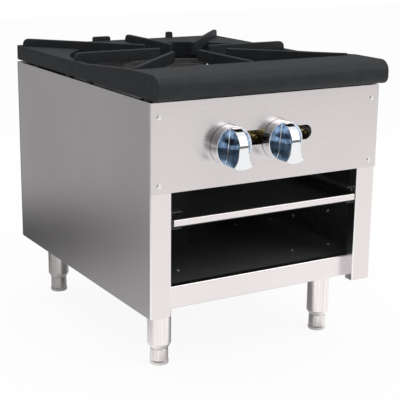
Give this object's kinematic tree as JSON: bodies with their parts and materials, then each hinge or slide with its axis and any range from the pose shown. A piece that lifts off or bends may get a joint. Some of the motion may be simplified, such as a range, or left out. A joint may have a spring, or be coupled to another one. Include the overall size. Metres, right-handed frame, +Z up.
{
  "type": "commercial gas range",
  "caption": "Free-standing stock-pot gas range: stainless cabinet with an open base, cast-iron top grate over a ring burner, two knobs, slide-out drip tray and levelling feet.",
  "frame": {"origin": "on the floor, under the centre of the bounding box", "axes": "+X to the cook's right, +Y from the front to the back, +Z up"},
  "size_m": [0.457, 0.639, 0.5203],
  "materials": {
    "stainless": "brushed number 4 stainless sheet",
    "polished_stainless": "fine satin stainless, bright bends",
    "galvanised": "plain galvanised sheet",
    "black_enamel": "glossy black enamel",
    "cast_iron": "seasoned cast iron, fine sand texture",
    "burner_iron": "bare cast iron, heat-greyed",
    "chrome": "polished chrome",
    "brass": "machined brass",
    "black_pipe": "black iron pipe, lacquered",
    "screw_steel": "zinc-plated steel",
    "leg_steel": "brushed stainless tube",
    "foot_steel": "brushed stainless foot",
    "tube_alloy": "soft aluminium tube"
  },
  "bodies": {
    "range_body": {"back_panel": "galvanised", "back_panel_screws": "screw_steel", "base_front_rail": "polished_stainless", "base_shelf": "black_enamel", "burner_rail_front": "galvanised", "burner_rail_rear": "galvanised", "gas_valve_left": "brass", "gas_valve_right": "brass", "inlet_locknuts": "black_pipe", "inner_burner_bars": "galvanised", "inner_burner_ring": "burner_iron", "inner_liner_left": "black_enamel", "inner_liner_right": "black_enamel", "inner_mixing_tube": "burner_iron", "leg_channel_left": "galvanised", "leg_channel_right": "galvanised", "leg_front_left": "leg_steel", "leg_front_right": "leg_steel", "leg_nuts": "screw_steel", "leg_rear_left": "leg_steel", "leg_rear_right": "leg_steel", "liner_screws": "screw_steel", "manifold_brackets": "galvanised", "manifold_cap": "black_pipe", "manifold_pipe": "black_pipe", "orifice_hoods": "brass", "outer_burner_ring": "burner_iron", "outer_mixing_tube": "burner_iron", "pilot_clips": "galvanised", "pilot_tubes": "tube_alloy", "pilot_valves": "brass", "pipe_elbow": "black_pipe", "rear_top_rail": "galvanised", "runner_screws": "screw_steel", "shelf_screws": "screw_steel", "side_panel_left": "stainless", "side_panel_right": "stainless", "supply_pipe": "black_pipe", "tray_runner_left": "black_enamel", "tray_runner_right": "black_enamel", "valve_panel": "polished_stainless", "valve_panel_screws": "screw_steel"},
    "knob_left_body": {"knob_left": "chrome", "valve_stem_left": "brass"},
    "knob_right_body": {"knob_right": "chrome", "valve_stem_right": "brass"},
    "tray_body": {"drip_tray": "galvanised", "drip_tray_lip": "polished_stainless"},
    "grate_body": {"grate_frame": "cast_iron", "grate_fingers": "cast_iron", "grate_rest_pads": "cast_iron"},
    "outer_shutter_body": {"outer_air_shutter": "galvanised"},
    "inner_shutter_body": {"inner_air_shutter": "galvanised"},
    "pilot_screw_left_body": {"pilot_screw_left": "brass"},
    "pilot_screw_right_body": {"pilot_screw_right": "brass"},
    "foot_front_left_body": {"foot_front_left": "foot_steel"},
    "foot_front_right_body": {"foot_front_right": "foot_steel"},
    "foot_rear_left_body": {"foot_rear_left": "foot_steel"},
    "foot_rear_right_body": {"foot_rear_right": "foot_steel"}
  },
  "joints": [
    {"name": "knob_left_turn", "type": "hinge", "parent": "range_body", "child": "knob_left_body", "pos_m": [-0.0853, -0.268, 0.395], "axis": [0, -1, 0], "range_deg": [0, 90]},
    {"name": "knob_right_turn", "type": "hinge", "parent": "range_body", "child": "knob_right_body", "pos_m": [0.0163, -0.268, 0.395], "axis": [0, -1, 0], "range_deg": [0, 90]},
    {"name": "tray_slide", "type": "slide", "parent": "range_body", "child": "tray_body", "axis": [0, -1, 0], "range_m": [0, 0.4]},
    {"name": "grate_lift", "type": "slide", "parent": "range_body", "child": "grate_body", "axis": [0, 0, 1], "range_m": [0, 0.1]},
    {"name": "outer_shutter_turn", "type": "hinge", "parent": "range_body", "child": "outer_shutter_body", "pos_m": [-0.0853, -0.1855, 0.395], "axis": [0, -1, 0], "range_deg": [0, 60]},
    {"name": "inner_shutter_turn", "type": "hinge", "parent": "range_body", "child": "inner_shutter_body", "pos_m": [0.0163, -0.1855, 0.395], "axis": [0, -1, 0], "range_deg": [0, 60]},
    {"name": "pilot_left_adjust", "type": "hinge", "parent": "range_body", "child": "pilot_screw_left_body", "pos_m": [-0.015, -0.248, 0.395], "axis": [0, -1, 0], "range_deg": [0, 360]},
    {"name": "pilot_right_adjust", "type": "hinge", "parent": "range_body", "child": "pilot_screw_right_body", "pos_m": [0.0865, -0.248, 0.395], "axis": [0, -1, 0], "range_deg": [0, 360]},
    {"name": "foot_front_left_level", "type": "slide", "parent": "range_body", "child": "foot_front_left_body", "axis": [0, 0, -1], "range_m": [0, 0.025]},
    {"name": "foot_front_right_level", "type": "slide", "parent": "range_body", "child": "foot_front_right_body", "axis": [0, 0, -1], "range_m": [0, 0.025]},
    {"name": "foot_rear_left_level", "type": "slide", "parent": "range_body", "child": "foot_rear_left_body", "axis": [0, 0, -1], "range_m": [0, 0.025]},
    {"name": "foot_rear_right_level", "type": "slide", "parent": "range_body", "child": "foot_rear_right_body", "axis": [0, 0, -1], "range_m": [0, 0.025]}
  ]
}
